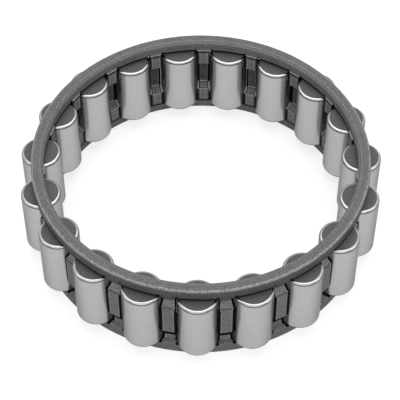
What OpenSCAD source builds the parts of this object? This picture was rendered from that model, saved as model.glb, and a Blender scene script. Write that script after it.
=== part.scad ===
// Roller and cage assembly of a heavy gearbox: one ring-shaped steel cage holds the cylindrical
// rollers at an even spacing, and the shaft and the gear bore serve as its two raceways.
// All sizes are in millimetres. The cage lies flat, its axis is +Z, and the origin is the centre
// of its lower face. The first roller stands at the front, at -Y.

/* [Rollers] */
// Number of rollers round the cage
roller_count = 19; // [12:1:20]
// Diameter of the circle that passes through the roller axes
pitch_diameter = 95.8; // [92:0.1:110]
// Diameter of one roller
roller_diameter = 11.8; // [9:0.1:12.2]
// Length of one roller over its end faces
roller_length = 21.5; // [17:0.5:31]
// Radius of the rounding between a roller's flank and its end faces
roller_edge_radius = 0.8; // [0.3:0.1:1.5]

/* [Fits] */
// Gap between a roller's flank and the curved walls of its window
pocket_clearance = 0.08; // [0.02:0.01:0.2]
// Gap between a roller's lower end face and the lower rim
lower_gap = 0.1; // [0.04:0.02:0.3]
// Gap between a roller's upper end face and the upper rim, once the roller has sunk
upper_gap = 0.6; // [0.1:0.1:1.5]

/* [Rims] */
// Thickness of each rim along the axis
rim_thickness = 3.9; // [2.5:0.1:6]
// Depth of each rim from its outer face to its inner face
rim_depth = 3.6; // [2.8:0.1:4.5]
// Distance of the rims' outer face outside the pitch circle
rim_outset = 2.1; // [2.1:0.05:2.6]
// Chamfer on the outer edge of each rim's end face
rim_outer_chamfer = 0.5; // [0.2:0.1:1]
// Chamfer on the inner edge of each rim's end face
rim_inner_chamfer = 0.8; // [0.1:0.1:1.2]

/* [Bars] */
// Radial thickness of the bars between the windows
bar_wall = 1.75; // [1.5:0.05:2.2]
// Distance that the ends of the bars reach inside the pitch circle
bar_inset = 1.8; // [1.5:0.05:2]
// Distance that the middles of the bars reach outside the pitch circle
bar_outset = 2; // [1.6:0.05:2.05]
// Length of the raised flat on the outside of a bar
bar_flat_length = 11; // [6:0.5:13]
// Length of the hollow on the inside of a bar
bar_hollow_length = 7.8; // [4:0.2:11]
// Length along the axis over which a bar slopes from its ends to its middle
bar_slope_length = 1.9; // [1:0.1:2.4]
// Length of a bar's root that is let into each rim
bar_root = 0.4; // [0.2:0.1:1]

/* [Window edges] */
// Depth of the lead-in at each mouth of a window, from the bar's surface to the retaining lips
lead_in_depth = 0.25; // [0.15:0.05:0.4]
// Width that the lead-in adds on each side of a mouth
lead_in_width = 0.4; // [0.2:0.05:0.6]
// Radius of the relief notch in each corner of a window
relief_radius = 0.5; // [0.3:0.05:0.8]

/* [Hidden] */
full_turn = 360;
front_angle = -90;
sides = [-1, 1];
facets_per_pitch = 12;
ring_facets = facets_per_pitch * roller_count;
roller_facets = 96;
edge_facets = 32;
relief_facets = 24;
cage_color = "#5c5a58";
roller_color = "#b4b4b3";

pitch_radius = pitch_diameter / 2;
roller_radius = roller_diameter / 2;
pocket_radius = roller_radius + pocket_clearance;

window_length = lower_gap + roller_length + upper_gap;
cage_width = window_length + 2 * rim_thickness;
middle_height = cage_width / 2;
roller_base = rim_thickness + lower_gap;

rim_outer = pitch_radius + rim_outset;
rim_inner = rim_outer - rim_depth;
bar_end_inner = pitch_radius - bar_inset;
bar_end_outer = bar_end_inner + bar_wall;
bar_middle_outer = pitch_radius + bar_outset;
bar_middle_inner = bar_middle_outer - bar_wall;
bar_length = window_length + 2 * bar_root;

// How far the cuts run past the surfaces that they open
overrun = 1;
relief_reach = 2 * (rim_depth + overrun);

function roller_name(i) = str("roller_", i < 10 ? "0" : "", i);
function roller_angle(i) = front_angle + (i - 1) * full_turn / roller_count;

// Lower half of the bars' section, from the hollow round to the raised flat, as points
// [radius, height above the middle plane].
function lower_bar_section() = [
    [bar_middle_inner, -bar_hollow_length / 2],
    [bar_end_inner, -bar_hollow_length / 2 - bar_slope_length],
    [bar_end_inner, -bar_length / 2],
    [bar_end_outer, -bar_length / 2],
    [bar_end_outer, -bar_flat_length / 2 - bar_slope_length],
    [bar_middle_outer, -bar_flat_length / 2],
];

// The same points in reverse order, mirrored about the middle plane.
function mirrored(points) = [for (i = [len(points) - 1 : -1 : 0]) [points[i].x, -points[i].y]];

// Half the width of a window's bore at the distance offset from the pitch circle.
function bore_half_width(offset) = sqrt(pow(pocket_radius, 2) - pow(offset, 2));

// Distance from the pitch circle of a bar's surface of the given radius, beside a window.
function surface_offset(radius) = abs(sqrt(pow(radius, 2) - pow(pocket_radius, 2)) - pitch_radius);

// Puts its children on the axis of roller i.
module at_roller(i) {
    rotate([0, 0, roller_angle(i)])
        translate([pitch_radius, 0, 0])
            children();
}

// Notch drilled through a rim at one side of a window, which clears the corner of the roller.
module corner_relief(side) {
    translate([0, side * (pocket_radius - relief_radius), rim_thickness])
        rotate([0, 90, 0])
            cylinder(r = relief_radius, h = relief_reach, center = true, $fn = relief_facets);
}

// Lower rim, chamfered at its end face, with the relief notches in the face that the rollers meet.
module rim() {
    difference() {
        rotate_extrude($fn = ring_facets)
            polygon([
                [rim_inner + rim_inner_chamfer, 0],
                [rim_outer - rim_outer_chamfer, 0],
                [rim_outer, rim_outer_chamfer],
                [rim_outer, rim_thickness],
                [rim_inner, rim_thickness],
                [rim_inner, rim_inner_chamfer],
            ]);
        for (i = [1 : roller_count], side = sides) {
            at_roller(i) corner_relief(side);
        }
    }
}

// Lead-in towards one mouth of a window: dir is 1 for the outer mouth and -1 for the inner one,
// and radius is that of the bar's surface which it opens. Its sides cross the bore at the
// retaining lips, so that a roller snaps in but doesn't fall out.
module lead_in(dir, radius) {
    surface = surface_offset(radius);
    lip = surface - lead_in_depth;
    lip_half = bore_half_width(lip);
    root = lip - lead_in_depth;
    root_half = lip_half - lead_in_width;
    mouth = surface + lead_in_depth;
    mouth_half = lip_half + 2 * lead_in_width;
    polygon([
        [dir * root, -root_half],
        [dir * mouth, -mouth_half],
        [dir * mouth, mouth_half],
        [dir * root, root_half],
    ]);
}

// Window seen along the cage's axis: a bore that fits round the roller, open at both mouths.
module window_plan() {
    circle(r = pocket_radius, $fn = roller_facets);
    lead_in(1, bar_middle_outer);
    lead_in(-1, bar_end_inner);
}

// Bars: a bent ring with one window cut through it for each roller. Their ends lie inside the
// pitch circle and their middles outside it, so that they keep the rollers in both ways.
module bars() {
    lower = lower_bar_section();
    translate([0, 0, middle_height])
        difference() {
            rotate_extrude($fn = ring_facets)
                polygon(concat(lower, mirrored(lower)));
            for (i = [1 : roller_count]) {
                at_roller(i)
                    linear_extrude(height = bar_length + 2 * overrun, center = true)
                        window_plan();
            }
        }
}

// One-piece cage: two like rims joined by the bars.
module cage() {
    color(cage_color) {
        rim();
        translate([0, 0, cage_width])
            mirror([0, 0, 1])
                rim();
        bars();
    }
}

// Half of a roller's section, with its two edges rounded.
module roller_section() {
    square([roller_radius - roller_edge_radius, roller_length]);
    translate([0, roller_edge_radius])
        square([roller_radius, roller_length - 2 * roller_edge_radius]);
    for (height = [roller_edge_radius, roller_length - roller_edge_radius]) {
        translate([roller_radius - roller_edge_radius, height])
            circle(r = roller_edge_radius, $fn = edge_facets);
    }
}

// Ground cylindrical roller, which has sunk in its window almost to the lower rim.
module roller(i) {
    color(roller_color)
        at_roller(i)
            translate([0, 0, roller_base])
                rotate_extrude($fn = roller_facets)
                    roller_section();
}

cage();
for (i = [1 : roller_count]) {
    roller(i);
}
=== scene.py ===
"""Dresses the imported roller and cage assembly: a phosphated steel cage and ground steel rollers.

The rims, the bars and the rollers are surfaces worked out with numpy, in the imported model's own
frame. Sizes of the part are in millimetres and angles in degrees. Meshes and the studio are in
metres.
"""

import logging
from dataclasses import dataclass, field
from enum import Enum, IntEnum
from typing import Any

import bpy
import numpy as np
from mathutils import Matrix, Vector

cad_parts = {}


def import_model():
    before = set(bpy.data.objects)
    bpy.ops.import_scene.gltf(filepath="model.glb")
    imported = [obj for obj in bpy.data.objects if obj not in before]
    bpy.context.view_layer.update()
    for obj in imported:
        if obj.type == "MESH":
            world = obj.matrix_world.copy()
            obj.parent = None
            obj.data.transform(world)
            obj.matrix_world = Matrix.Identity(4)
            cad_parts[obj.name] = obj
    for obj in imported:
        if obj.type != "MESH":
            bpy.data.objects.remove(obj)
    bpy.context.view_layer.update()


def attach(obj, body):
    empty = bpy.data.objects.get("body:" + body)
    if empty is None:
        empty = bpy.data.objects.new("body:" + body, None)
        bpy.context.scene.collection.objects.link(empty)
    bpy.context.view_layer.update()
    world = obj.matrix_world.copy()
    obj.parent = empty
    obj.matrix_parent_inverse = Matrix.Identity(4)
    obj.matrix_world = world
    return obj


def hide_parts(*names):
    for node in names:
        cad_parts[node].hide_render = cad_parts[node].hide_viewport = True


MM = 0.001
TOLERANCE_MM = 0.001
WHITE = "#ffffff"
# Pairs of a place and the share there, which changes evenly from each pair to the next.
Bands = tuple[tuple[float, float], ...]
log = logging.getLogger("roller_cage")


class Mask(Enum):
    """Vertex attributes that the finishes read.

    One mask is how much of the coating has come off together with the painted light, one how
    dark the painted shade is, one how dark the painted reflection along the end of a roller's
    rounding is, and LOCAL a place in the roller's own patterns, in metres.
    """

    RUBBED_AND_LIT = "rub_and_light"
    PAINTED_SHADE = "painted_shade"
    LINE = "line"
    LOCAL = "local"


class Zone(IntEnum):
    """The three surfaces of a roller, in the order of its material slots."""

    FLANK = 0
    EDGE = 1
    END = 2


# Nodes and colours


def linear(code: str) -> tuple[float, float, float, float]:
    """Turns an sRGB colour into a linear one, along the curve of the sRGB standard.

    Args:
        code: The colour as a hash sign and six hex digits.

    Returns:
        Linear red, green and blue, and an alpha of 1.
    """
    srgb = np.array([int(code[start:start + 2], 16) for start in (1, 3, 5)]) / 255
    rgb = np.where(srgb <= 0.04045, srgb / 12.92, ((srgb + 0.055) / 1.055) ** 2.4)
    return (*rgb.tolist(), 1.0)


def socket(sockets: Any, key: str) -> bpy.types.NodeSocket:
    """The socket with this identifier or, failing that, this name."""
    by_identifier = [item for item in sockets if item.identifier == key]
    return by_identifier[0] if by_identifier else sockets[key]


def add_node(
    tree: bpy.types.NodeTree,
    kind: str,
    settings: dict[str, Any] | None = None,
    inputs: dict[str, Any] | None = None,
) -> bpy.types.Node:
    """Adds a node with its settings, values and links.

    Args:
        tree: The node tree that gets the node.
        kind: The node's Blender type.
        settings: Attributes of the node.
        inputs: For each input, by identifier or name, a value or the output to link from.

    Returns:
        The new node.
    """
    node = tree.nodes.new(kind)
    for name, value in (settings or {}).items():
        setattr(node, name, value)
    for name, value in (inputs or {}).items():
        target = socket(node.inputs, name)
        if isinstance(value, bpy.types.NodeSocket):
            tree.links.new(value, target)
        else:
            target.default_value = value
    return node


def new_material(name: str) -> tuple[bpy.types.Material, bpy.types.NodeTree]:
    """Makes an empty node material.

    Args:
        name: The material's name.

    Returns:
        The material and its node tree.
    """
    material = bpy.data.materials.new(name)
    material.use_nodes = True
    material.node_tree.nodes.clear()
    return material, material.node_tree


def output_surface(tree: bpy.types.NodeTree, shader: bpy.types.Node) -> None:
    """Links a shader to the tree's material output."""
    add_node(tree, "ShaderNodeOutputMaterial", inputs={"Surface": shader.outputs[0]})


# Finishes


@dataclass(frozen=True)
class PhosphatedSteel:
    """Machined low-carbon steel with a manganese phosphate coating and a light coat of oil.

    The coating is a felt of fine crystals that scatter the light, so the eye sees a matt dark
    grey with a pale and dark grain and next to no reflection. Handled edges are lighter where the
    coating has come off. Painted light and painted glints lie on some faces and edges, and a
    painted black shade lies on the walls that face a roller, in recesses and in gaps.
    """

    dark: str = "#5c5b59"
    pale: str = "#8b8a89"
    rubbed_and_lit: str = "#c2c1bf"
    painted_shade: str = "#070707"
    grain_mm: float = 0.42
    groove_mm: float = 0.55
    groove_share: float = 0.7
    mottle_mm: float = 5.0
    mottle_share: float = 0.3
    roughness: float = 0.56
    rubbed_roughness: float = 0.4
    specular: float = 0.03
    relief_mm: float = 0.012
    relief_strength: float = 0.5

    def material(self) -> bpy.types.Material:
        """Builds the coating: grain, grooves and mottle, then rubbing, painted light and shade.

        Returns:
            The material.
        """
        material, tree = new_material("manganese_phosphated_steel")
        place = add_node(tree, "ShaderNodeTexCoord").outputs["Object"]
        # The real crystals, of some hundredths of a millimetre, are too fine to show, so the
        # grain is drawn as coarse as it needs to be.
        grain = add_node(tree, "ShaderNodeTexNoise", inputs={
            "Vector": place, "Scale": 1 / (self.grain_mm * MM), "Detail": 2.0, "Roughness": 0.6,
        })
        mottle = add_node(tree, "ShaderNodeTexNoise", inputs={
            "Vector": place, "Scale": 1 / (self.mottle_mm * MM), "Detail": 3.0, "Roughness": 0.5,
        })
        # Lathe grooves run round the axis, so they vary with the radius and the height only.
        # They too are drawn coarser than a lathe's feed, so that they show.
        flat = add_node(tree, "ShaderNodeVectorMath", {"operation": "MULTIPLY"}, {
            "Vector": place, "Vector_001": (1.0, 1.0, 0.0),
        })
        radius = add_node(tree, "ShaderNodeVectorMath", {"operation": "LENGTH"}, {
            "Vector": flat.outputs["Vector"],
        })
        height = add_node(tree, "ShaderNodeSeparateXYZ", inputs={"Vector": place})
        section = add_node(tree, "ShaderNodeCombineXYZ", inputs={
            "X": radius.outputs["Value"], "Y": height.outputs["Z"],
        })
        grooves = add_node(tree, "ShaderNodeTexNoise", {"noise_dimensions": "2D"}, {
            "Vector": section.outputs["Vector"], "Scale": 1 / (self.groove_mm * MM), "Detail": 1.0,
        })
        spread = add_node(tree, "ShaderNodeMapRange", inputs={
            "Value": grain.outputs["Fac"], "From Min": 0.3, "From Max": 0.7,
            "To Min": 0.15, "To Max": 0.85,
        })
        # Mottle and grooves shift the grain's tone both ways, each by up to half its share.
        drift = add_node(tree, "ShaderNodeMath", {"operation": "MULTIPLY_ADD"}, {
            "Value": mottle.outputs["Fac"],
            "Value_001": self.mottle_share, "Value_002": -self.mottle_share / 2,
        })
        turned = add_node(tree, "ShaderNodeMath", {"operation": "MULTIPLY_ADD"}, {
            "Value": grooves.outputs["Fac"],
            "Value_001": self.groove_share, "Value_002": -self.groove_share / 2,
        })
        lines = add_node(tree, "ShaderNodeMath", {"operation": "ADD"}, {
            "Value": drift.outputs[0], "Value_001": turned.outputs[0],
        })
        tone = add_node(tree, "ShaderNodeMath", {"operation": "ADD", "use_clamp": True}, {
            "Value": spread.outputs["Result"], "Value_001": lines.outputs[0],
        })
        coat = add_node(tree, "ShaderNodeMix", {"data_type": "RGBA"}, {
            "Factor_Float": tone.outputs[0],
            "A_Color": linear(self.dark), "B_Color": linear(self.pale),
        })
        # The grain breaks up the rubbing and the painted light, since the crystals' tips come off
        # first.
        rub_and_light = add_node(tree, "ShaderNodeAttribute", {"attribute_name": Mask.RUBBED_AND_LIT.value})
        broken = add_node(tree, "ShaderNodeMapRange", inputs={
            "Value": grain.outputs["Fac"], "From Min": 0.35, "From Max": 0.65,
            "To Min": 0.15, "To Max": 1.0,
        })
        rubbing_and_light = add_node(tree, "ShaderNodeMath", {"operation": "MULTIPLY", "use_clamp": True}, {
            "Value": rub_and_light.outputs["Fac"], "Value_001": broken.outputs["Result"],
        })
        # The pale colour marks rubbing, and also paints light, highlights and glints.
        bare = add_node(tree, "ShaderNodeMix", {"data_type": "RGBA"}, {
            "Factor_Float": rubbing_and_light.outputs[0], "A_Color": socket(coat.outputs, "Result_Color"),
            "B_Color": linear(self.rubbed_and_lit),
        })
        # Painted shade: black where shade falls, on the walls beside the rollers, in recesses and gaps.
        shade_paint = add_node(tree, "ShaderNodeAttribute", {"attribute_name": Mask.PAINTED_SHADE.value})
        colour = add_node(tree, "ShaderNodeMix", {"data_type": "RGBA"}, {
            "Factor_Float": shade_paint.outputs["Fac"], "A_Color": socket(bare.outputs, "Result_Color"),
            "B_Color": linear(self.painted_shade),
        })
        roughness = add_node(tree, "ShaderNodeMapRange", inputs={
            "Value": rubbing_and_light.outputs[0], "To Min": self.roughness, "To Max": self.rubbed_roughness,
        })
        relief = add_node(tree, "ShaderNodeBump", inputs={
            "Strength": self.relief_strength, "Distance": self.relief_mm * MM,
            "Height": grain.outputs["Fac"],
        })
        shader = add_node(tree, "ShaderNodeBsdfPrincipled", inputs={
            "Base Color": socket(colour.outputs, "Result_Color"),
            "Roughness": roughness.outputs["Result"],
            "Specular IOR Level": self.specular, "Normal": relief.outputs["Normal"],
        })
        output_surface(tree, shader)
        return material


@dataclass(frozen=True)
class GroundSteel:
    """Through-hardened bearing steel, centreless ground on its flank.

    The wheel leaves hair-fine marks round the roller, so the eye sees a light satin grey whose
    reflections are soft, with faint bands that follow the turning.
    """

    pale: str = "#b7b7b7"
    dark: str = "#a7a7a7"
    grazing: str = "#b0b0b0"
    mark_mm: float = 0.5
    mark_run_mm: float = 2.5
    roughness: float = 0.26

    def material(self) -> bpy.types.Material:
        """Builds the flank: noise drawn out round the roller, in its colour.

        Returns:
            The material.
        """
        material, tree = new_material("ground_bearing_steel")
        place = add_node(tree, "ShaderNodeAttribute", {"attribute_name": Mask.LOCAL.value})
        # The wheel's own marks are finer, and are drawn as coarse as they need to show.
        run, mark = 1 / (self.mark_run_mm * MM), 1 / (self.mark_mm * MM)
        drawn_out = add_node(tree, "ShaderNodeMapping", inputs={
            "Vector": place.outputs["Vector"], "Scale": (run, run, mark),
        })
        marks = add_node(tree, "ShaderNodeTexNoise", inputs={
            "Vector": drawn_out.outputs["Vector"], "Scale": 1.0, "Detail": 3.0, "Roughness": 0.65,
        })
        colour = add_node(tree, "ShaderNodeMix", {"data_type": "RGBA"}, {
            "Factor_Float": marks.outputs["Fac"],
            "A_Color": linear(self.dark), "B_Color": linear(self.pale),
        })
        shader = add_node(tree, "ShaderNodeBsdfPrincipled", inputs={
            "Base Color": socket(colour.outputs, "Result_Color"),
            "Roughness": self.roughness, "Metallic": 1.0, "Specular Tint": linear(self.grazing),
        })
        output_surface(tree, shader)
        return material


@dataclass(frozen=True)
class PolishedSteel:
    """Bearing steel, tumbled bright on the rounded edge between flank and end face.

    The rounding mirrors lamps as a clean white arc. A painted dark reflection lies along its last
    stretch before the flank, and along a short stretch next to the end face.
    """

    bright: str = "#acacac"
    line: str = "#555555"
    roughness: float = 0.17
    line_roughness: float = 0.38
    ripple_mm: float = 1.2
    relief_mm: float = 0.01
    relief_strength: float = 0.15

    def material(self) -> bpy.types.Material:
        """Builds the edge: bright, faintly rippled steel with a painted dark reflection on the masked
        line.

        Returns:
            The material.
        """
        material, tree = new_material("polished_bearing_steel")
        place = add_node(tree, "ShaderNodeAttribute", {"attribute_name": Mask.LOCAL.value})
        ripple = add_node(tree, "ShaderNodeTexNoise", inputs={
            "Vector": place.outputs["Vector"], "Scale": 1 / (self.ripple_mm * MM), "Detail": 2.0,
        })
        # The dark colour is a painted reflection of dark surroundings, along the masked line.
        line = add_node(tree, "ShaderNodeAttribute", {"attribute_name": Mask.LINE.value})
        colour = add_node(tree, "ShaderNodeMix", {"data_type": "RGBA"}, {
            "Factor_Float": line.outputs["Fac"],
            "A_Color": linear(self.bright), "B_Color": linear(self.line),
        })
        gloss = add_node(tree, "ShaderNodeMapRange", inputs={
            "Value": line.outputs["Fac"], "To Min": self.roughness, "To Max": self.line_roughness,
        })
        relief = add_node(tree, "ShaderNodeBump", inputs={
            "Strength": self.relief_strength, "Distance": self.relief_mm * MM,
            "Height": ripple.outputs["Fac"],
        })
        shader = add_node(tree, "ShaderNodeBsdfPrincipled", inputs={
            "Base Color": socket(colour.outputs, "Result_Color"),
            "Roughness": gloss.outputs["Result"], "Metallic": 1.0,
            "Normal": relief.outputs["Normal"],
        })
        output_surface(tree, shader)
        return material


@dataclass(frozen=True)
class TumbledSteel:
    """Bearing steel end face, hardened dark and tumbled with stone chips.

    The scale from hardening is only partly rubbed off, so the eye sees a matt mid grey with a
    fine even grain that holds no reflection.
    """

    dark: str = "#504f4e"
    pale: str = "#72716f"
    grain_mm: float = 0.4
    roughness: float = 0.5
    specular: float = 0.2
    relief_mm: float = 0.01
    relief_strength: float = 0.4

    def material(self) -> bpy.types.Material:
        """Builds the end face: an even grain in colour and relief.

        Returns:
            The material.
        """
        material, tree = new_material("tumbled_bearing_steel")
        place = add_node(tree, "ShaderNodeAttribute", {"attribute_name": Mask.LOCAL.value})
        # The chips' own scratches are finer, and are drawn as coarse as they need to show.
        grain = add_node(tree, "ShaderNodeTexNoise", inputs={
            "Vector": place.outputs["Vector"], "Scale": 1 / (self.grain_mm * MM),
            "Detail": 2.0, "Roughness": 0.6,
        })
        spread = add_node(tree, "ShaderNodeMapRange", inputs={
            "Value": grain.outputs["Fac"], "From Min": 0.3, "From Max": 0.7,
        })
        colour = add_node(tree, "ShaderNodeMix", {"data_type": "RGBA"}, {
            "Factor_Float": spread.outputs["Result"],
            "A_Color": linear(self.dark), "B_Color": linear(self.pale),
        })
        relief = add_node(tree, "ShaderNodeBump", inputs={
            "Strength": self.relief_strength, "Distance": self.relief_mm * MM,
            "Height": grain.outputs["Fac"],
        })
        shader = add_node(tree, "ShaderNodeBsdfPrincipled", inputs={
            "Base Color": socket(colour.outputs, "Result_Color"),
            "Roughness": self.roughness, "Specular IOR Level": self.specular,
            "Normal": relief.outputs["Normal"],
        })
        output_surface(tree, shader)
        return material


# Surfaces


def banded(places: np.ndarray, bands: Bands) -> np.ndarray:
    """The share at each place, along straight lines from each pair of the bands to the next."""
    return np.interp(places, *np.transpose(bands))


def with_centres(values: np.ndarray, looped: bool) -> np.ndarray:
    """Lists the values of a stack of rings, part by part.

    Args:
        values: Array of parts, rings, points round each ring and, for places, x, y and z.
        looped: True where the last ring joins the first, and no end needs closing.

    Returns:
        One row for each vertex: each part's ring points, then the means of its first and last
        rings, which are the middles of its two closing fans.
    """
    parts = values.shape[0]
    rows = values.reshape(parts, -1, *values.shape[3:])
    if not looped:
        ends = values[:, [0, -1]].mean(axis=2)
        rows = np.concatenate([rows, ends], axis=1)
    return rows.reshape(-1, *values.shape[3:])


def ring_faces(parts: int, rings: int, round_count: int, looped: bool) -> tuple[list, list]:
    """Joins a stack of rings into closed surfaces.

    Point j of ring i joins point j + 1 and the same two points of ring i + 1 in a quad. A stack
    that isn't looped gets a fan of triangles from the middle of its first and last rings.

    Args:
        parts: Number of separate stacks.
        rings: Rings in each stack.
        round_count: Points round each ring.
        looped: True where the last ring joins the first.

    Returns:
        The quads and the triangles, as lists of vertex numbers.
    """
    around = np.arange(round_count)
    after = (around + 1) % round_count
    low = np.arange(rings if looped else rings - 1)[:, None] * round_count
    high = (low + round_count) % (rings * round_count)
    quads = np.stack([low + around, low + after, high + after, high + around], axis=-1)
    size = rings * round_count + (0 if looped else 2)
    start = (np.arange(parts) * size)[:, None, None]
    all_quads = (start + quads.reshape(-1, 4)).reshape(-1, 4).tolist()
    if looped:
        return all_quads, []
    last = (rings - 1) * round_count
    first_fan = np.stack([np.full_like(around, size - 2), after, around], axis=-1)
    last_fan = np.stack([np.full_like(around, size - 1), last + around, last + after], axis=-1)
    fans = np.concatenate([first_fan, last_fan])
    return all_quads, (start + fans).reshape(-1, 3).tolist()


def surface(
    name: str,
    places: np.ndarray,
    masks: dict[Mask, np.ndarray],
    looped: bool,
    sharp_angle: float = 30.0,
) -> bpy.types.Object:
    """Makes one object from a stack of rings.

    Args:
        name: The piece's name.
        places: Array of parts, rings, points round each ring, and x, y, z in millimetres.
        masks: Values for the finishes, shaped as places without or with its last axis.
        looped: True where the last ring joins the first.
        sharp_angle: Edges that turn by more than this stay crisp, in degrees.

    Returns:
        The object, at the origin, smoothly shaded.
    """
    quads, fans = ring_faces(*places.shape[:3], looped)
    mesh = bpy.data.meshes.new(name)
    mesh.from_pydata((with_centres(places, looped) * MM).tolist(), [], quads + fans)
    for mask, values in masks.items():
        is_vector = values.ndim == places.ndim
        attribute = mesh.attributes.new(mask.value, "FLOAT_VECTOR" if is_vector else "FLOAT", "POINT")
        flat = with_centres(values, looped).astype(np.float32).ravel()
        attribute.data.foreach_set("vector" if is_vector else "value", flat)
    mesh.polygons.foreach_set("use_smooth", np.ones(len(mesh.polygons), bool))
    mesh.set_sharp_from_angle(angle=np.radians(sharp_angle))
    mesh.update()
    piece = bpy.data.objects.new(name, mesh)
    bpy.context.scene.collection.objects.link(piece)
    return piece


def rounded_outline(
    corners: np.ndarray, radii: np.ndarray, margins: np.ndarray, steps: int
) -> tuple[np.ndarray, np.ndarray]:
    """Rounds the corners of a closed outline with true arcs.

    Each arc is the rational curve from the point one tangent length before the corner to the
    point as far after it, drawn towards the corner with the weight cos(half the turn), which
    is a circle. One more point stands a margin outside each end of the arc.

    Args:
        corners: The corners in order, one row each.
        radii: Radius of the arc at each corner.
        margins: For each corner, the margins before and after its arc.
        steps: Points along each arc.

    Returns:
        The points in order, and the share of rubbing at each, one row for each corner: 1 on its
        arc and 0 on its two margin points.
    """
    to_next = np.roll(corners, -1, axis=0) - corners
    ahead = to_next / np.linalg.norm(to_next, axis=1, keepdims=True)
    back = -np.roll(ahead, 1, axis=0)
    half_turn = (np.pi - np.arccos(np.clip((ahead * back).sum(axis=1), -1, 1))) / 2
    tangent = (radii * np.tan(half_turn))[:, None]
    start, end = corners + back * tangent, corners + ahead * tangent
    way = np.linspace(0, 1, steps)[None, :, None]
    pull = np.cos(half_turn)[:, None, None]
    blend = [(1 - way) ** 2, 2 * way * (1 - way) * pull, way ** 2]
    arcs = blend[0] * start[:, None] + blend[1] * corners[:, None] + blend[2] * end[:, None]
    arcs = arcs / sum(blend)
    before = (start + back * margins[:, :1])[:, None]
    after = (end + ahead * margins[:, 1:])[:, None]
    points = np.concatenate([before, arcs, after], axis=1).reshape(-1, 2)
    rub_and_light = np.zeros((len(corners), steps + 2))
    rub_and_light[:, 1:-1] = 1
    return points, rub_and_light


# The part


@dataclass(frozen=True)
class Layout:
    """Sizes that the rims, the bars and the rollers share.

    Attributes:
        count: Number of rollers, of windows and of bars.
        front_angle: Direction of the first roller.
        pitch_radius: Radius of the circle through the rollers' axes.
        roller_radius: Radius of a roller's flank.
        roller_length: Length of a roller over its end faces.
        pocket_clearance: Gap between a roller's flank and its window's walls.
        lower_gap: Gap between a roller and the lower rim.
        upper_gap: Gap between a roller and the upper rim.
        rim_thickness: Thickness of each rim along the axis.
    """

    count: int = 19
    front_angle: float = -90.0
    pitch_radius: float = 47.9
    roller_radius: float = 5.9
    roller_length: float = 21.5
    pocket_clearance: float = 0.08
    lower_gap: float = 0.1
    upper_gap: float = 0.6
    rim_thickness: float = 3.9

    @property
    def pitch_angle(self) -> float:
        """Angle from one roller to the next."""
        return 360 / self.count

    @property
    def pocket_radius(self) -> float:
        """Radius of the bore that a window is cut with."""
        return self.roller_radius + self.pocket_clearance

    @property
    def window_length(self) -> float:
        """Length of a window from rim to rim."""
        return self.lower_gap + self.roller_length + self.upper_gap

    @property
    def middle_height(self) -> float:
        """Height of the plane about which the cage is alike."""
        return self.rim_thickness + self.window_length / 2

    @property
    def roller_middle(self) -> float:
        """Height of the rollers' middles, which have sunk almost to the lower rim."""
        return self.rim_thickness + self.lower_gap + self.roller_length / 2

    def roller_angles(self) -> np.ndarray:
        """Angles of the rollers round the axis, the front one first."""
        return self.front_angle + np.arange(self.count) * self.pitch_angle


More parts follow.
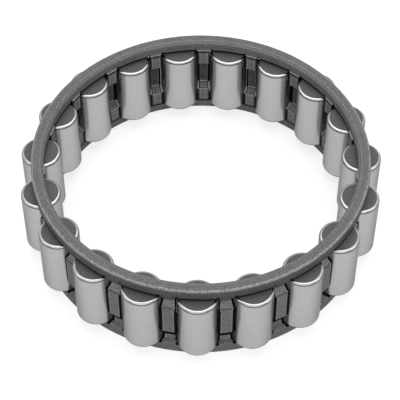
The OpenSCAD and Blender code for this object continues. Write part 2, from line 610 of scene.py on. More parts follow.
@dataclass
class Rims:
    """The cage's two rims, turned with chamfered edges and notched at the window corners.

    Attributes:
        layout: Sizes of the whole cage.
        finish: The coating.
        outset: Distance of the outer face outside the pitch circle.
        depth: Distance from the outer face to the inner face.
        outer_chamfer: Chamfer on the outer edge of the end face.
        inner_chamfer: Chamfer on the inner edge of the end face.
        edge_radius: Rounding of every edge.
        corner_wear: Wear of the six edges, from the end face's inner one outwards and round.
        worn_width: Width beside an edge over which its rubbing fades.
        ledge_light: Painted light on the lower rim's ledge between the windows, where the bars shade
            it.
        inner_light_paint: Painted light on the lower rim's inner face.
        outer_shade_paint: Painted shade on the upper rim's outer face, by the distance from its end
            face.
        inner_shade_paint: Painted shade on the upper rim's inner face.
        shade_line: Width of the painted black shadow line on the upper rim's faces, beside each window.
        shade_edge: Width over which that shadow line ends.
        notch_radius: Radius of the notches.
        notch_start: Height in the section that a notch begins to press down.
        notch_run: Height above that over which its whole depth is reached.
        arc_points: Points along a rounded edge.
        notch_points: Points along a notch.
        window_points: Points from one notch of a window to the other.
        bar_points: Points from a notch to the middle of a bar.
    """

    layout: Layout
    finish: bpy.types.Material
    outset: float = 2.1
    depth: float = 3.6
    outer_chamfer: float = 0.5
    inner_chamfer: float = 0.8
    edge_radius: float = 0.12
    corner_wear: tuple[float, ...] = (0.5, 0.9, 0.55, 0.0, 0.0, 0.25)
    worn_width: float = 0.16
    ledge_light: float = 0.5
    inner_light_paint: float = 0.2
    outer_shade_paint: Bands = ((0.5, 0.32), (3.4, 0.5))
    inner_shade_paint: float = 0.15
    shade_line: float = 0.45
    shade_edge: float = 0.06
    notch_radius: float = 0.5
    notch_start: float = 1.5
    notch_run: float = 1.6
    arc_points: int = 5
    notch_points: int = 9
    window_points: int = 10
    bar_points: int = 6

    @property
    def outer_radius(self) -> float:
        """Radius of the outer face."""
        return self.layout.pitch_radius + self.outset

    @property
    def inner_radius(self) -> float:
        """Radius of the inner face."""
        return self.outer_radius - self.depth

    def profile(self) -> tuple[np.ndarray, np.ndarray]:
        """Works out the lower rim's section, a chamfered rectangle with rounded edges.

        Returns:
            The points [radius, height] in order, and the share of rubbing at each.
        """
        inner, outer, top = self.inner_radius, self.outer_radius, self.layout.rim_thickness
        corners = np.array([
            [inner + self.inner_chamfer, 0],
            [outer - self.outer_chamfer, 0],
            [outer, self.outer_chamfer],
            [outer, top],
            [inner, top],
            [inner, self.inner_chamfer],
        ])
        margins = np.full((len(corners), 2), self.worn_width)
        margins[3, 0] = margins[4, 1] = self.shade_line
        radii = np.full(len(corners), self.edge_radius)
        points, rub_and_light = rounded_outline(corners, radii, margins, self.arc_points)
        # The outer chamfer is rubbed from edge to edge.
        rub_and_light[1, -1] = rub_and_light[2, 0] = 1
        rub_and_light = (rub_and_light * np.array(self.corner_wear)[:, None]).ravel()
        # One more point on each of the two walls makes the painted shadow line there end crisply.
        points_each = self.arc_points + 2
        first, last = 3 * points_each, 5 * points_each
        below = points[[first, last - 1]] - [0, self.shade_edge]
        return np.insert(points, [first, last], below, axis=0), np.insert(rub_and_light, [first, last], 0)

    def stations(self) -> tuple[np.ndarray, np.ndarray, np.ndarray]:
        """Works out where the sections stand round the axis.

        Within each pitch they crowd at the two notches. A notch is half a circle: at the
        distance s from its middle it is the square root of its radius squared less s squared.

        Returns:
            Each section's angle in radians, how deep the notches cut there, and 1 where it
            belongs to a window or 0 where it belongs to a bar.
        """
        middle = (self.outer_radius + self.inner_radius) / 2
        notch, offset = self.notch_radius, self.layout.pocket_radius - self.notch_radius
        across = notch * np.cos(np.linspace(np.pi, 0, self.notch_points))
        half_pitch = np.radians(self.layout.pitch_angle / 2) * middle
        between = np.linspace(notch - offset, offset - notch, self.window_points)[1:-1]
        beyond = np.linspace(offset + notch, half_pitch, self.bar_points)[1:]
        along = np.concatenate([-beyond[::-1][1:], across - offset, between, across + offset, beyond])
        from_notch = np.clip(np.abs(np.abs(along) - offset), 0, notch)
        depth = np.sqrt(notch ** 2 - from_notch ** 2)
        angles = np.radians(self.layout.roller_angles())[:, None] + along[None, :] / middle
        in_window = (np.abs(along) < offset + notch).astype(float)
        count = self.layout.count
        return angles.reshape(-1), np.tile(depth, count), np.tile(in_window, count)

    def build(self) -> list[bpy.types.Object]:
        """Carries the section round the axis, and mirrors it for the upper rim.

        The notches press the upper part of the section down: a point below notch_start stays,
        one more than notch_run above it goes down by the whole depth, and between them a point
        goes in part.

        Returns:
            The lower rim and the upper rim.
        """
        section, rub_and_light = self.profile()
        angles, depth, in_window = self.stations()
        reach, level = section.T
        pressed = np.clip((level - self.notch_start) / self.notch_run, 0, 1)
        height = level - depth[:, None] * pressed
        radius = np.broadcast_to(reach, height.shape)
        lower = np.stack([
            radius * np.cos(angles)[:, None], radius * np.sin(angles)[:, None], height,
        ], axis=-1)
        upper = lower * [1, 1, -1] + [0, 0, 2 * self.layout.middle_height]
        top, near = self.layout.rim_thickness, self.edge_radius / 2
        window = in_window[:, None]
        inside, outside = reach < self.inner_radius + near, reach > self.outer_radius - near
        # The lower rim gets painted light on its ledge between the windows and on its inner face.
        rubbing_and_light = np.broadcast_to(rub_and_light, height.shape)[None]
        lower_rub_and_light = np.maximum(rubbing_and_light, self.ledge_light * (1 - window) * (level > top - near))
        lower_rub_and_light = np.maximum(lower_rub_and_light, self.inner_light_paint * inside)
        # Painted shade lies on the face that the rollers meet, and thinly on the upper rim's outer
        # and inner faces, with a painted black shadow line beside each window.
        shade_paint = (window * (level > top - TOLERANCE_MM))[None]
        face_shade_paint = outside * banded(level, self.outer_shade_paint) + inside * self.inner_shade_paint
        at_line = level > top - self.edge_radius - self.shade_line - TOLERANCE_MM
        upper_shade_paint = np.maximum(np.maximum(shade_paint, face_shade_paint), (window * at_line)[None])
        # The lower rim's section runs backwards, so that its faces point outwards as well.
        lower_masks = {Mask.RUBBED_AND_LIT: lower_rub_and_light[..., ::-1], Mask.PAINTED_SHADE: shade_paint[..., ::-1]}
        upper_masks = {Mask.RUBBED_AND_LIT: rubbing_and_light, Mask.PAINTED_SHADE: upper_shade_paint}
        return [
            surface("cage_lower_rim", lower[None, :, ::-1], lower_masks, looped=True),
            surface("cage_upper_rim", upper[None], upper_masks, looped=True),
        ]

    def dress(self) -> list[bpy.types.Object]:
        """Builds the rims, paints them and ties them to the cage.

        Returns:
            The two rims.
        """
        pieces = self.build()
        for piece in pieces:
            piece.data.materials.append(self.finish)
            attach(piece, "cage")
            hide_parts("cage")
        return pieces


@dataclass
class Bars:
    """The bars between the windows, bent outwards in their middles, with retaining lips.

    Heights in the bands are measured from the cage's middle plane. Outer and inner are the two
    faces that look away from the axis and towards it.

    Attributes:
        layout: Sizes of the whole cage.
        finish: The coating.
        wall: Radial thickness of a bar.
        inset: Distance that its ends reach inside the pitch circle.
        outset: Distance that its middle reaches outside the pitch circle.
        flat_length: Length of the raised flat on its outer face.
        hollow_length: Length of the hollow in its inner face.
        slope_length: Height over which it slopes from its ends to its middle.
        root: Length that is let into each rim.
        lead_in_depth: Depth of the lead-in at each mouth of a window, down to the lip.
        lead_in_width: Width that the lead-in adds on each side.
        edge_radius: Rounding of the four long edges.
        bend_blend: Height over which a bend is rounded, to each side of it.
        root_fillet: Radius of the fillet on the outer face at each rim.
        ridges: Relief of the pressed ridges on the inner slopes, by the height below the middle.
        outer_light_paint: Painted light on the outer face.
        inner_light_paint: Painted light on the inner face, with a pale painted highlight on each ridge.
        outer_shade_paint: Painted shade on the outer face.
        inner_shade_paint: Painted shade on the inner face.
        glint: Where the painted glint lies on the lower inner slope's edges.
        glint_width: Width of that painted glint.
        glint_paint: How strong the painted glint is drawn, past 1 so that the grain doesn't break it.
        side_glint: Share of the painted glint on the side's points, from the outer edge to the inner.
        outer_margin: Width of the painted shade beside the outer face's edges.
        inner_margin: Width of the painted shade beside the inner face's edges.
        block_margin: The same, on the thick ends of a bar.
        block_shade_paint: Share of that painted shade on the thick ends.
        block_step: Height over which both change.
        worn_width: Width of the fade beside the pale line at the painted shade's border.
        shade_edge: Width over which the painted shade ends.
        root_highlight: How bright the painted highlight on the ends of the roots is drawn.
        root_step: Height from a root's end to its next ring.
        side_shares: Where the side's points lie, as shares of the way inwards.
        corner_points: Points along a rounded edge.
        bend_points: Rings at each bend.
        blend_samples: Heights that a rounded bend is the mean of.
        fillet_points: Rings along a fillet.
        plan_reach: How far to each side of the pitch circle the plan is worked out.
        plan_points: Points of the plan.
    """

    layout: Layout
    finish: bpy.types.Material
    wall: float = 1.75
    inset: float = 1.8
    outset: float = 2.0
    flat_length: float = 11.0
    hollow_length: float = 7.8
    slope_length: float = 1.9
    root: float = 0.4
    lead_in_depth: float = 0.25
    lead_in_width: float = 0.4
    edge_radius: float = 0.07
    bend_blend: float = 0.3
    root_fillet: float = 0.7
    ridges: Bands = (
        (-5.7, 0), (-5.6, 0.08), (-5.3, -0.05), (-5.0, 0.05), (-4.8, -0.05), (-4.55, 0.04),
        (-4.35, -0.04), (-4.15, 0.08), (-4.0, 0),
    )
    outer_light_paint: Bands = (
        (-9.7, 0.3), (-9.4, 0), (-5.7, 0), (-5.6, 0.12), (5.2, 0.12), (5.3, 0),
        (5.9, 0), (6.0, 0.5), (7.3, 0.5), (7.5, 0),
    )
    inner_light_paint: Bands = (
        (-10.4, 0.25), (-6.1, 0.25), (-5.95, 1), (-5.75, 1), (-5.65, 0),
        (-5.5, 0), (-5.4, 0.65), (-5.25, 0.65), (-5.1, 0),
        (-4.95, 0), (-4.85, 0.5), (-4.7, 0.5), (-4.6, 0),
        (-4.5, 0), (-4.42, 0.3), (-4.3, 0.3), (-4.2, 0),
        (-4.1, 0), (-4.0, 1), (-3.8, 1), (-3.7, 0),
    )
    outer_shade_paint: Bands = (
        (-9.7, 0), (-9.4, 1), (-5.9, 1), (-5.7, 0), (5.35, 0), (5.5, 0.22),
        (5.9, 0.22), (6.0, 0), (7.3, 0), (7.5, 0.35),
    )
    inner_shade_paint: Bands = (
        (-10.6, 0.8), (-10.4, 0), (-5.75, 0), (-5.65, 0.5), (-5.5, 0.5), (-5.4, 0.25),
        (-4.3, 0.25), (-4.2, 0.5), (-4.1, 0.5), (-4.0, 0), (-3.8, 0), (-3.7, 0.53),
        (3.9, 0.53), (4.3, 0), (10.2, 0), (10.5, 0.7),
    )
    glint: Bands = ((-5.9, 0), (-5.7, 1), (-4.1, 1), (-3.9, 0))
    glint_width: float = 0.28
    glint_paint: float = 3.0
    side_glint: tuple[float, ...] = (0, 0, 0, 0, 0.4, 1)
    outer_margin: float = 0.34
    inner_margin: float = 0.62
    block_margin: float = 0.2
    block_shade_paint: float = 0.5
    block_step: float = 0.2
    worn_width: float = 0.3
    shade_edge: float = 0.02
    root_highlight: float = 3.0
    root_step: float = 0.1
    side_shares: tuple[float, ...] = (0, 0.2, 0.45, 0.7, 0.88, 1)
    corner_points: int = 5
    bend_points: int = 5
    blend_samples: int = 9
    fillet_points: int = 6
    plan_reach: float = 3.2
    plan_points: int = 641

    @property
    def end_inner(self) -> float:
        """Radius of the inner face at a bar's ends."""
        return self.layout.pitch_radius - self.inset

    @property
    def middle_outer(self) -> float:
        """Radius of the outer face at a bar's middle."""
        return self.layout.pitch_radius + self.outset

    @property
    def rim_face(self) -> float:
        """Height at which a bar meets the rims."""
        return self.layout.window_length / 2

    @property
    def block_edge(self) -> list[float]:
        """Heights between which the inner slope gives way to the thick end."""
        slope_end = self.hollow_length / 2 + self.slope_length
        return [slope_end - self.block_step, slope_end]

    def heights(self) -> np.ndarray:
        """Works out where the rings lie, crowded at the fillets, the bends and the bands.

        Returns:
            The heights from root to root, in rising order.
        """
        spread = self.bend_blend * np.linspace(-1, 1, self.bend_points)
        hollow, flat = self.hollow_length / 2, self.flat_length / 2
        bends = np.array([hollow, hollow + self.slope_length, flat, flat + self.slope_length])
        turn = np.linspace(0, np.pi / 2, self.fillet_points)
        fillet = self.rim_face - self.root_fillet * (1 - np.cos(turn))
        end = self.rim_face + self.root
        upper = np.concatenate([[end], (bends[:, None] + spread).ravel(), fillet])
        upper = np.unique(np.round(upper, 4))
        bands = (
            *self.ridges, *self.outer_light_paint, *self.inner_light_paint, *self.outer_shade_paint,
            *self.inner_shade_paint, *self.glint,
        )
        changes = [height for height, _ in bands]
        ends = [self.root_step - end, end - self.root_step]
        return np.unique(np.concatenate([-upper, upper, changes, ends]))

    def bent(self, height: np.ndarray, half_length: float, middle: float, end: float) -> np.ndarray:
        """Works out one of a bar's faces.

        It is middle up to half_length, end past the slope, and straight between them. Averaging
        that over a short stretch of height rounds the two bends.

        Args:
            height: The heights.
            half_length: Height at which the slope begins.
            middle: Radius of the face at the bar's middle.
            end: Radius of the face at its ends.

        Returns:
            The face's radius at each height.
        """
        shift = self.bend_blend * np.linspace(-1, 1, self.blend_samples)[:, None]
        distance = np.abs(height[None, :] + shift)
        slope = [half_length, half_length + self.slope_length]
        return np.interp(distance, slope, [middle, end]).mean(axis=0)

    def side(self) -> tuple[np.ndarray, np.ndarray]:
        """Works out the side of a bar in plan.

        At the distance x from the pitch circle the window beside the bar is the pocket's bore,
        the square root of its radius squared less x squared to each side, and beyond the lips
        the straight lead-ins, which open it further.

        Returns:
            Radii in rising order, and half the bar's angle at each, in radians.
        """
        pitch, pocket = self.layout.pitch_radius, self.layout.pocket_radius
        offset = np.linspace(-self.plan_reach, self.plan_reach, self.plan_points)
        half = np.sqrt(pocket ** 2 - offset ** 2)
        slope = self.lead_in_width / self.lead_in_depth
        for direction, radius in ((1, self.middle_outer), (-1, self.end_inner)):
            opened = abs(np.sqrt(radius ** 2 - pocket ** 2) - pitch)
            lip = opened - self.lead_in_depth
            past_lip = direction * offset - lip
            lead_in = np.sqrt(pocket ** 2 - lip ** 2) + slope * past_lip
            half = np.where(past_lip > 0, np.maximum(half, lead_in), half)
        turn = np.radians(self.layout.pitch_angle / 2)
        along = (pitch + offset) * np.cos(turn) + half * np.sin(turn)
        across = (pitch + offset) * np.sin(turn) - half * np.cos(turn)
        return np.hypot(along, across), np.arctan2(across, along)

    def face(self, turned: np.ndarray, radius: np.ndarray, margin: np.ndarray) -> np.ndarray:
        """Places the points across one face.

        From each edge they are the two borders of the painted glint, the two of the painted shade,
        the end of the pale line beside it, and one a third of that from the middle.

        Args:
            turned: Angle where the face begins, at each height.
            radius: The face's radius at each height.
            margin: Width of the painted shade beside the face's edges, at each height.

        Returns:
            Twelve angles from one edge of the face to the other, at each height.
        """
        margin, edge = margin[:, None], self.shade_edge
        glint = np.minimum(self.glint_width, margin / 2)
        widths = [glint, glint + edge, margin, margin + edge, margin + edge + self.worn_width]
        inset = turned - np.concatenate(widths, axis=1) / radius
        half = np.concatenate([inset, inset[:, -1:] / 3], axis=1)
        return np.concatenate([half, -half[:, ::-1]], axis=1)

    def outline(
        self, low: np.ndarray, high: np.ndarray, height: np.ndarray
    ) -> tuple[np.ndarray, np.ndarray]:
        """Draws the rings round a bar, one for each height.

        Each ring runs along the outer face, down one side, along the inner face and up the
        other side. Its four corners are quadratic curves between points one edge radius away.

        Args:
            low: Radius of the inner face at each height.
            high: Radius of the outer face at each height.
            height: The heights.

        Returns:
            The radius of each point, and its angle from the bar's middle.
        """
        plan_radii, plan_angles = self.side()
        edge, low, high = self.edge_radius, low[:, None], high[:, None]
        way = np.linspace(0, 1, self.corner_points)
        weights = np.stack([(1 - way) ** 2, 2 * way * (1 - way), way ** 2])

        def side_angle(radius: np.ndarray) -> np.ndarray:
            """Half angle of the bar at each radius."""
            return np.interp(radius, plan_radii, plan_angles)

        def corner(face: np.ndarray, inward: int) -> tuple[np.ndarray, np.ndarray]:
            """Draws the curve from the side to a face.

            Args:
                face: The face's radius at each height.
                inward: 1 at the outer face and -1 at the inner one.

            Returns:
                The curve's radii and angles at each height.
            """
            past = face - inward * edge
            turned = side_angle(face) - edge / face
            radius = np.concatenate([past, face, face], axis=1) @ weights
            angle = np.concatenate([side_angle(past), side_angle(face), turned], axis=1) @ weights
            return radius, angle

        outer_radii, outer_angles = corner(high, 1)
        inner_radii, inner_angles = corner(low, -1)
        outer_margin = np.full(len(height), self.outer_margin)
        inner_margin = np.interp(
            np.abs(height), self.block_edge, [self.inner_margin, self.block_margin])
        outer_face = self.face(outer_angles[:, -1:], high, outer_margin)
        inner_face = self.face(inner_angles[:, -1:], low, inner_margin)
        share = np.array([self.side_shares])
        top, bottom = high - edge - self.shade_edge, low + edge + self.shade_edge
        side_radii = top * (1 - share) + bottom * share
        side_angles = side_angle(side_radii)
        radius = np.concatenate([
            outer_radii, np.broadcast_to(high, outer_face.shape), outer_radii[:, ::-1], side_radii,
            inner_radii, np.broadcast_to(low, inner_face.shape), inner_radii[:, ::-1],
            side_radii[:, ::-1],
        ], axis=1)
        angle = np.concatenate([
            outer_angles, outer_face, -outer_angles[:, ::-1], -side_angles,
            -inner_angles, -inner_face, inner_angles[:, ::-1], side_angles[:, ::-1],
        ], axis=1)
        return radius, angle

    def masks(self, height: np.ndarray) -> tuple[np.ndarray, np.ndarray]:
        """Spreads the pale lines, the painted light and the painted shade over the points of the rings.

        Half a ring is a corner, a face, a corner and a side. Painted shade covers the sides, the
        corners and the margins of the faces, and thins out by the bands between them.

        Args:
            height: The heights of the rings.

        Returns:
            The pale lines with the painted light, and the painted shade, of each point.
        """
        def half_ring(corner: float, half_face: list[int], side: np.ndarray) -> np.ndarray:
            """Lists the shares of a corner, a face that is alike both ways, a corner and a side."""
            edge = np.full(self.corner_points, corner)
            return np.concatenate([edge, half_face, half_face[::-1], edge, side])

        # Painted shade covers the sides, the corners and a strip beside each face's edges; a pale line
        # runs along each strip's inner border.
        bare, all_shaded = np.zeros(len(self.side_shares)), np.ones(len(self.side_shares))
        line = half_ring(0, [0, 0, 0, 1, 0, 0], bare)
        strip = half_ring(1, [1, 1, 1, 0, 0, 0], bare)
        shade_paint = half_ring(1, [1, 1, 1, 0, 0, 0], all_shaded)
        # A painted glint lies on the inner corners of the lower slope, and on the side beside them for
        # a stretch.
        glint, side = banded(height, self.glint)[:, None], np.array(self.side_glint)
        outer_glint = half_ring(0, [0, 0, 0, 0, 0, 0], side) * glint
        inner_glint = half_ring(1, [1, 0, 0, 0, 0, 0], side[::-1]) * glint
        outer_light_paint = banded(height, self.outer_light_paint)[:, None] * (1 - shade_paint)
        inner_light_paint = banded(height, self.inner_light_paint)[:, None] * (1 - shade_paint)
        rub_and_light = np.concatenate([
            np.maximum(np.maximum(line, outer_light_paint), self.glint_paint * outer_glint),
            np.maximum(np.maximum(line, inner_light_paint), self.glint_paint * inner_glint),
        ], axis=1)
        outer_shade_paint = np.maximum(shade_paint, banded(height, self.outer_shade_paint)[:, None])
        strip_share = np.interp(np.abs(height), self.block_edge, [1, self.block_shade_paint])[:, None]
        inner_shade_paint = np.maximum(
            shade_paint - strip * (1 - strip_share), banded(height, self.inner_shade_paint)[:, None])
        painted_shade = np.concatenate([outer_shade_paint * (1 - outer_glint), inner_shade_paint * (1 - inner_glint)], axis=1)
        # The ends of the roots get a painted highlight.
        is_end = np.abs(height)[:, None] > self.rim_face + self.root - self.root_step / 2
        return np.where(is_end, self.root_highlight, rub_and_light), np.where(is_end, 0.0, painted_shade)

    def build(self) -> bpy.types.Object:
        """Stacks the rings of all bars, halfway between the rollers.

        The fillet at a rim adds its radius less the height of a circle over the gap that is
        left.

        Returns:
            The bars, as one piece.
        """
        height = self.heights()
        low = self.bent(height, self.hollow_length / 2, self.middle_outer - self.wall, self.end_inner)
        high = self.bent(height, self.flat_length / 2, self.middle_outer, self.end_inner + self.wall)
        low = low + banded(-np.abs(height), self.ridges)
        gap = np.clip(self.rim_face - np.abs(height), 0, self.root_fillet)
        fillet = self.root_fillet - np.sqrt(self.root_fillet ** 2 - (self.root_fillet - gap) ** 2)
        radius, angle = self.outline(low, high + fillet, height)
        rub_and_light, painted_shade = self.masks(height)
        middles = np.radians(self.layout.roller_angles() + self.layout.pitch_angle / 2)
        turned = middles[:, None, None] + angle[None]
        places = np.stack([
            radius * np.cos(turned), radius * np.sin(turned),
            np.broadcast_to(height[:, None] + self.layout.middle_height, turned.shape),
        ], axis=-1)
        # The rings run upwards, so their points run backwards for the faces to point outwards.
        masks = {
            Mask.RUBBED_AND_LIT: np.broadcast_to(rub_and_light, turned.shape)[:, ::-1],
            Mask.PAINTED_SHADE: np.broadcast_to(painted_shade, turned.shape)[:, ::-1],
        }
        return surface("cage_bars", places[:, ::-1], masks, looped=False)

    def dress(self) -> list[bpy.types.Object]:
        """Builds the bars, paints them and ties them to the cage.

        Returns:
            The one piece that holds them all.
        """
        piece = self.build()
        piece.data.materials.append(self.finish)
        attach(piece, "cage")
        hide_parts("cage")
        return [piece]


@dataclass
class Rollers:
    """The cylindrical rollers, each free to turn in its window.

    Attributes:
        layout: Sizes of the whole cage.
        finishes: The finish of each zone.
        edge_radius: Rounding between the flank and the end faces.
        dark_reflection: Share of the painted dark reflection along the rounding, by the turn from the
            end face.
        face_rings: Radii of the rings near an end face's middle.
        face_margin: Distance from its last ring to the rounding.
        flank_rings: Heights of the flank's rings, as shares of half the length.
        pattern_step: How far along the patterns the next roller starts, in metres.
        facets: Points round a roller.
        edge_points: Points along the rounding.
    """

    layout: Layout
    finishes: dict[Zone, bpy.types.Material]
    edge_radius: float = 0.8
    dark_reflection: Bands = ((4, 0.7), (10, 0), (42, 0), (54, 0.85))
    face_rings: tuple[float, ...] = (0.4, 2.5)
    face_margin: float = 0.3
    flank_rings: tuple[float, ...] = (0.6, 0.2, -0.2, -0.6)
    pattern_step: float = 0.05
    facets: int = 96
    edge_points: int = 19

    def profile(self) -> tuple[np.ndarray, np.ndarray, list[Zone]]:
        """Half section of a roller about its own middle, from the lower end to the upper.

        The rounding is a quarter of a circle: after a turn from the end face the radius has
        grown by the sine of the turn, and the height has shrunk by 1 less its cosine, both
        times the rounding's radius.

        Returns:
            The points [radius, height], each point's share of the painted dark reflection, and the zone
            of each band between two points, the two closing fans first and last.
        """
        reach, half = self.layout.roller_radius, self.layout.roller_length / 2
        turn = np.linspace(0, np.pi / 2, self.edge_points)
        edge = np.stack([
            reach - self.edge_radius * (1 - np.sin(turn)), half - self.edge_radius * (1 - np.cos(turn)),
        ], axis=-1)
        last_ring = reach - self.edge_radius - self.face_margin
        face = np.array([[radius, half] for radius in (*self.face_rings, last_ring)])
        upper = np.concatenate([face, edge])
        line = np.concatenate([np.zeros(len(face)), banded(np.degrees(turn), self.dark_reflection)])
        flank = np.array([[reach, half * share] for share in self.flank_rings])
        points = np.concatenate([upper, flank, (upper * [1, -1])[::-1]])
        lines = np.concatenate([line, np.zeros(len(flank)), line[::-1]])
        ends, edges = [Zone.END] * len(face), [Zone.EDGE] * (self.edge_points - 1)
        bands = ends + edges + [Zone.FLANK] * (len(flank) + 1) + edges + ends
        return points[::-1], lines[::-1], [Zone.END, *bands, Zone.END]

    def build(self, number: int, angle: float) -> bpy.types.Object:
        """Turns the section round the roller's own axis, in its window.

        Args:
            number: The roller's number, from 1.
            angle: Where it stands round the cage, in degrees.

        Returns:
            The roller, with its material slots and the zone of every face.
        """
        section, line, bands = self.profile()
        toward = np.radians(angle)
        around = toward + np.linspace(0, 2 * np.pi, self.facets, endpoint=False)
        local = np.stack([
            section[:, :1] * np.cos(around), section[:, :1] * np.sin(around),
            np.broadcast_to(section[:, 1:], (len(section), self.facets)),
        ], axis=-1)
        centre = self.layout.pitch_radius * np.array([np.cos(toward), np.sin(toward)])
        places = local + [*centre, self.layout.roller_middle]
        masks = {
            Mask.LINE: np.broadcast_to(line[:, None], local.shape[:2])[None],
            Mask.LOCAL: (local * MM + [0, 0, self.pattern_step * number])[None],
        }
        piece = surface(f"ground_roller_{number:02d}", places[None], masks, looped=False)
        for zone in Zone:
            piece.data.materials.append(self.finishes[zone])
        zones = np.concatenate([
            np.repeat(bands[1:-1], self.facets), np.repeat([bands[0], bands[-1]], self.facets),
        ])
        piece.data.polygons.foreach_set("material_index", zones.astype(np.int32))
        return piece

    def dress(self) -> list[bpy.types.Object]:
        """Builds every roller and ties it to its own body.

        Returns:
            The rollers, the front one first.
        """
        pieces = []
        for number, angle in enumerate(self.layout.roller_angles(), start=1):
            piece = self.build(number, float(angle))
            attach(piece, f"roller_{number:02d}")
            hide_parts(f"roller_{number:02d}")
            pieces.append(piece)
        return pieces


# The studio


@dataclass(frozen=True)
class Lamp:
    """A softbox that is turned to the part.

    Attributes:
        name: Its name.
        place: Its middle, in metres.
        width: Its width in metres.
        height: Its height in metres.
        power: Its power in watts.
        is_mirrored: False for a lamp that lights the part but isn't seen in the bright steel.
    """

    name: str
    place: tuple[float, float, float]
    width: float
    height: float
    power: float
    is_mirrored: bool = True


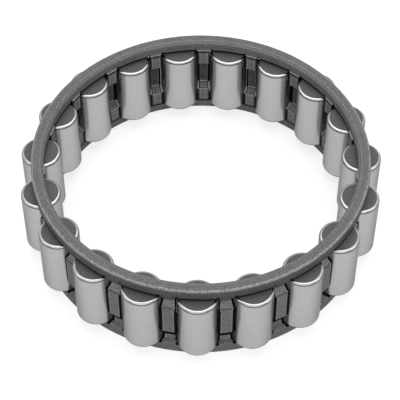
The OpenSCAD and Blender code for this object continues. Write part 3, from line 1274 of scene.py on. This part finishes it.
@dataclass
class Studio:
    """Camera, lamps, pale floor and pale surroundings.

    Attributes:
        tilt: How far down the camera looks.
        turn: How far round the axis it stands.
        distance: Its distance in millimetres.
        rise: How far the view is raised in the picture, in millimetres.
        shift_left: How far the view is moved to the left, in millimetres.
        focal_mm: The lens's focal length.
        sensor_mm: The sensor's width.
        clip_start: Nearest distance that the camera shows, in metres.
        ambient: Strength of the surroundings on matt surfaces.
        floor_colour: The floor under the lamps.
        floor_roughness: The floor's roughness.
        floor_glow: What the floor gives off to the camera, so that it comes out white.
        floor_reach: Half the floor's width, in metres.
        aim_height: Height that the lamps point at, in metres.
        lamps: The softboxes.
    """

    tilt: float = 50.77
    turn: float = 1.14
    distance: float = 464.2
    rise: float = 5.475
    shift_left: float = 0.235
    focal_mm: float = 135.0
    sensor_mm: float = 36.0
    clip_start: float = 0.01
    ambient: float = 0.1
    floor_colour: str = "#b4b4b4"
    floor_roughness: float = 0.9
    floor_glow: float = 0.75
    floor_reach: float = 3.0
    aim_height: float = 0.015
    lamps: list[Lamp] = field(default_factory=lambda: [
        Lamp("high_softbox", (0.0, 0.12, 0.58), 0.6, 0.6, 2.3),
        Lamp("left_strip", (-0.55, -0.14, 0.3), 0.3, 0.6, 0.5),
        Lamp("right_strip", (0.55, -0.14, 0.3), 0.3, 0.6, 0.7),
        Lamp("front_softbox", (0.0, -0.82, 0.42), 1.3, 0.6, 4.3),
        Lamp("back_softbox", (0.0, 0.85, 0.25), 1.6, 0.4, 2.6, is_mirrored=False),
    ])

    def camera(self) -> None:
        """Points the camera down at the part, as far round and as far off as the photograph's."""
        tilt = np.radians(self.tilt)
        forward = Vector((0, np.cos(tilt), -np.sin(tilt)))
        up = Vector((0, np.sin(tilt), np.cos(tilt)))
        right = Vector((1, 0, 0))
        place = (up * self.rise - forward * self.distance - right * self.shift_left) * MM
        matrix = Matrix((right, up, -forward)).transposed().to_4x4()
        matrix.translation = place
        data = bpy.data.cameras.new("camera")
        data.lens, data.sensor_width = self.focal_mm, self.sensor_mm
        data.clip_start = self.clip_start
        camera = bpy.data.objects.new("camera", data)
        bpy.context.scene.collection.objects.link(camera)
        camera.matrix_world = Matrix.Rotation(np.radians(self.turn), 4, "Z") @ matrix
        bpy.context.scene.camera = camera

    def background_share(self, tree: bpy.types.NodeTree) -> bpy.types.NodeSocket:
        """Tells the rays that show the background from those that light the part.

        Args:
            tree: The node tree that gets the nodes.

        Returns:
            1 for rays that come straight or by way of metal or glass, and 0 for others.
        """
        path = add_node(tree, "ShaderNodeLightPath")
        seen = add_node(tree, "ShaderNodeMath", {"operation": "ADD"}, {
            "Value": path.outputs["Is Camera Ray"], "Value_001": path.outputs["Is Glossy Ray"],
        })
        return add_node(tree, "ShaderNodeMath", {"operation": "ADD", "use_clamp": True}, {
            "Value": seen.outputs[0], "Value_001": path.outputs["Is Transmission Ray"],
        }).outputs[0]

    def surroundings(self) -> None:
        """Makes the world white to the camera and in reflections, and a dimmer even fill."""
        world = bpy.data.worlds.new("white_surroundings")
        world.use_nodes = True
        tree = world.node_tree
        tree.nodes.clear()
        strength = add_node(tree, "ShaderNodeMapRange", inputs={
            "Value": self.background_share(tree), "To Min": self.ambient, "To Max": 1.0,
        })
        shader = add_node(tree, "ShaderNodeBackground", inputs={
            "Color": linear(WHITE), "Strength": strength.outputs["Result"],
        })
        add_node(tree, "ShaderNodeOutputWorld", inputs={"Surface": shader.outputs[0]})
        bpy.context.scene.world = world

    def floor(self) -> None:
        """Lays the pale floor, which is white to the camera but keeps the part's shadow."""
        corners = np.array([[-1, -1, 0], [1, -1, 0], [1, 1, 0], [-1, 1, 0]]) * self.floor_reach
        mesh = bpy.data.meshes.new("studio_floor")
        mesh.from_pydata(corners.tolist(), [], [[0, 1, 2, 3]])
        material, tree = new_material("matt_white_paper")
        glow = add_node(tree, "ShaderNodeMath", {"operation": "MULTIPLY"}, {
            "Value": self.background_share(tree), "Value_001": self.floor_glow,
        })
        shader = add_node(tree, "ShaderNodeBsdfPrincipled", inputs={
            "Base Color": linear(self.floor_colour), "Roughness": self.floor_roughness,
            "Specular IOR Level": 0.0,
            "Emission Color": linear(WHITE), "Emission Strength": glow.outputs[0],
        })
        output_surface(tree, shader)
        mesh.materials.append(material)
        piece = bpy.data.objects.new("studio_floor", mesh)
        bpy.context.scene.collection.objects.link(piece)

    def light(self) -> None:
        """Hangs the softboxes, each turned to the middle of the part."""
        for lamp in self.lamps:
            data = bpy.data.lights.new(lamp.name, "AREA")
            data.shape, data.size, data.size_y = "RECTANGLE", lamp.width, lamp.height
            data.energy = lamp.power
            piece = bpy.data.objects.new(lamp.name, data)
            bpy.context.scene.collection.objects.link(piece)
            piece.location = lamp.place
            piece.visible_glossy = lamp.is_mirrored
            aim = Vector((0, 0, self.aim_height)) - Vector(lamp.place)
            piece.rotation_euler = aim.to_track_quat("-Z", "Y").to_euler()

    def dress(self) -> None:
        """Sets up everything round the part."""
        bpy.context.scene.view_settings.view_transform = "Standard"
        self.camera()
        self.surroundings()
        self.floor()
        self.light()


def main() -> None:
    """Builds the part and its studio."""
    logging.basicConfig(level=logging.INFO, format="%(name)s: %(message)s")
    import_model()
    layout = Layout()
    coated = PhosphatedSteel().material()
    rolling = {
        Zone.FLANK: GroundSteel().material(),
        Zone.EDGE: PolishedSteel().material(),
        Zone.END: TumbledSteel().material(),
    }
    for assembly in (Rims(layout, coated), Bars(layout, coated), Rollers(layout, rolling)):
        for piece in assembly.dress():
            log.info("%s: %d faces", piece.name, len(piece.data.polygons))
    studio = Studio()
    studio.dress()
    log.info("studio: camera, floor and %d lamps", len(studio.lamps))


if __name__ == "__main__":
    main()
